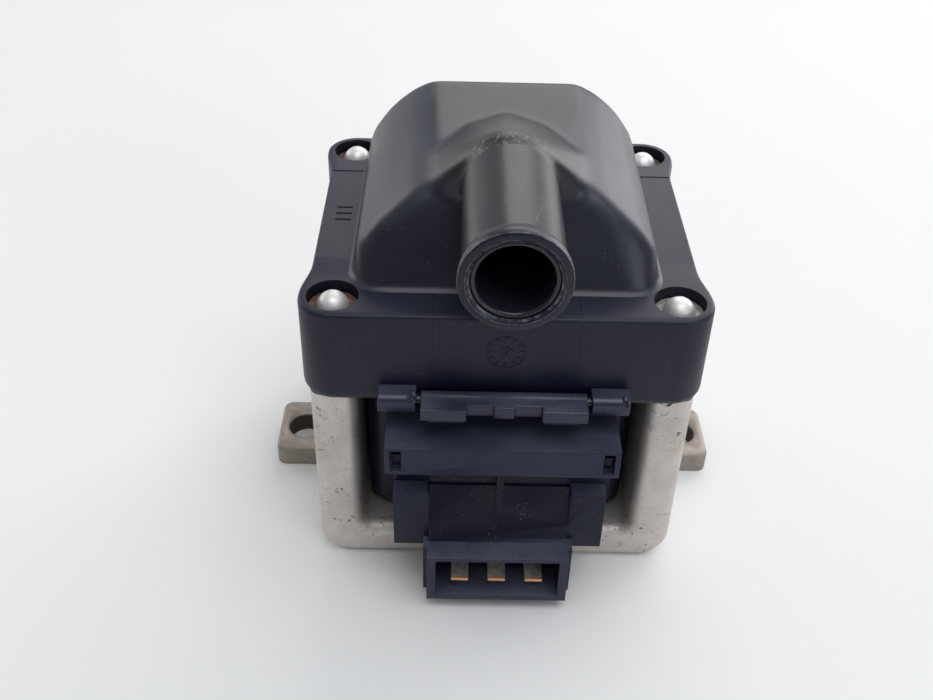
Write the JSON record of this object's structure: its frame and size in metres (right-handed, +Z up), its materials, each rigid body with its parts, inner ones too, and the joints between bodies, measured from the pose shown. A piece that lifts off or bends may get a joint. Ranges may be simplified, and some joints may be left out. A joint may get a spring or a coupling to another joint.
{
  "type": "ignition coil",
  "caption": "Potted ignition coil on a cast U-shaped base, with a horizontal high-voltage tower, a built-in driver module and a flat-blade socket.",
  "frame": {"origin": "centre of the flat mounting face, the underside of the cast base", "axes": "+Z up, from the mounting face towards the dome; -Y towards the mouths of the high-voltage tower and the connector socket; X across, through the two mounting ears; the coil is symmetric about the YZ plane"},
  "size_m": [0.1182, 0.1002, 0.109],
  "materials": {
    "cast_aluminium": "satin as-cast, small dark pits",
    "black_moulding": "satin black",
    "sleeve_moulding": "satin black",
    "brass_contact": "machined",
    "copper": "copper",
    "bright_rivet": "bright, domed",
    "rusty_washer": "steel with light rust",
    "soft_pad": "soft",
    "core_steel": "laminated electrical steel",
    "magnet": "sintered",
    "bobbin": "natural",
    "enamelled_wire": "enamelled copper wire",
    "potting": "cast resin",
    "module_moulding": "satin black",
    "plate_aluminium": "rolled",
    "thermal_pad": "soft grey",
    "ceramic_board": "ceramic",
    "chip_moulding": "moulded",
    "capacitor": "ceramic",
    "tinned_blade": "tinned, bare copper at the cut ends",
    "screw_steel": "zinc plated"
  },
  "bodies": {
    "coil": {"base_frame": "cast_aluminium", "coil_housing": "black_moulding", "housing_skirt": "black_moulding", "tower_sleeve": "sleeve_moulding", "hv_terminal": "brass_contact", "hv_lead": "copper", "corner_rivets": "bright_rivet", "rivet_washers": "rusty_washer", "base_pad": "soft_pad", "core_stack": "core_steel", "core_yoke": "core_steel", "gap_magnet": "magnet", "primary_bobbin": "bobbin", "primary_winding": "enamelled_wire", "secondary_bobbin": "bobbin", "secondary_winding": "enamelled_wire", "potting_compound": "potting", "primary_leads": "copper", "module_case": "module_moulding", "module_cover": "module_moulding", "heat_spreader": "plate_aluminium", "thermal_pad": "thermal_pad", "circuit_board": "ceramic_board", "power_transistor": "chip_moulding", "board_capacitors": "capacitor", "terminal_blades": "tinned_blade", "module_screws": "screw_steel", "flap_pin": "black_moulding"},
    "keeper": {"keeper_flap": "module_moulding"}
  },
  "joints": [
    {"name": "keeper_hinge", "type": "hinge", "parent": "coil", "child": "keeper", "pos_m": [0, -0.0428, 0.0554], "axis": [-1, 0, 0], "range_deg": [0, 90]}
  ]
}
